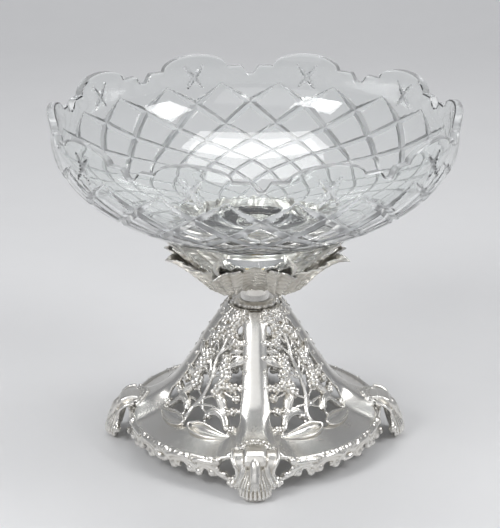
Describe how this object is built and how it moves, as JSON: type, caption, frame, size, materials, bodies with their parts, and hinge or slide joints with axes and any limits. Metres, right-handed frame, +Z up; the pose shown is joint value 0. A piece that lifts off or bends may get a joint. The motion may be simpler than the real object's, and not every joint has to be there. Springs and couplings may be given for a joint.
{
  "type": "glass centrepiece on metal stand",
  "caption": "Round cut-glass bowl with a lobed rim, lifted by a leaf cup on a pierced, silver-plated base with shell feet.",
  "frame": {"origin": "on the table under the middle of the base", "axes": "+Z up; the four feet point along +X, +Y, -X and -Y; the foot nearest the viewer in the picture is at -Y"},
  "size_m": [0.2372, 0.234, 0.2085],
  "materials": {
    "silver_plate": "old polished silver plate, slightly warm, tarnish in the hollows",
    "cut_glass": "clear polished glass with cut diamonds",
    "brass_fittings": "plain turned brass, unseen in use",
    "soft_pad": "matt soft washer"
  },
  "bodies": {
    "stand": {"neck_ring": "silver_plate", "neck_collar": "silver_plate", "holder_dish": "silver_plate", "base_shell": "silver_plate", "vine_panel_back_right": "silver_plate", "opening_lip_back_right": "silver_plate", "border_back_right": "silver_plate", "large_leaf_back_right": "silver_plate", "vine_panel_back_left": "silver_plate", "opening_lip_back_left": "silver_plate", "border_back_left": "silver_plate", "large_leaf_back_left": "silver_plate", "vine_panel_front_left": "silver_plate", "opening_lip_front_left": "silver_plate", "border_front_left": "silver_plate", "large_leaf_front_left": "silver_plate", "vine_panel_front_right": "silver_plate", "opening_lip_front_right": "silver_plate", "border_front_right": "silver_plate", "large_leaf_front_right": "silver_plate", "volute_bracket_right": "silver_plate", "shell_foot_right": "silver_plate", "inner_leaf_right": "silver_plate", "volute_bracket_back": "silver_plate", "shell_foot_back": "silver_plate", "inner_leaf_back": "silver_plate", "volute_bracket_left": "silver_plate", "shell_foot_left": "silver_plate", "inner_leaf_left": "silver_plate", "volute_bracket_front": "silver_plate", "shell_foot_front": "silver_plate", "inner_leaf_front": "silver_plate", "bowl_pad": "soft_pad", "centre_rod": "brass_fittings", "rod_washer": "brass_fittings", "base_nut": "brass_fittings", "dish_nut": "brass_fittings"},
    "bowl": {"glass_bowl": "cut_glass"}
  },
  "joints": [
    {"name": "bowl_lift", "type": "slide", "parent": "stand", "child": "bowl", "axis": [0, 0, 1], "range_m": [0, 0.06]}
  ]
}
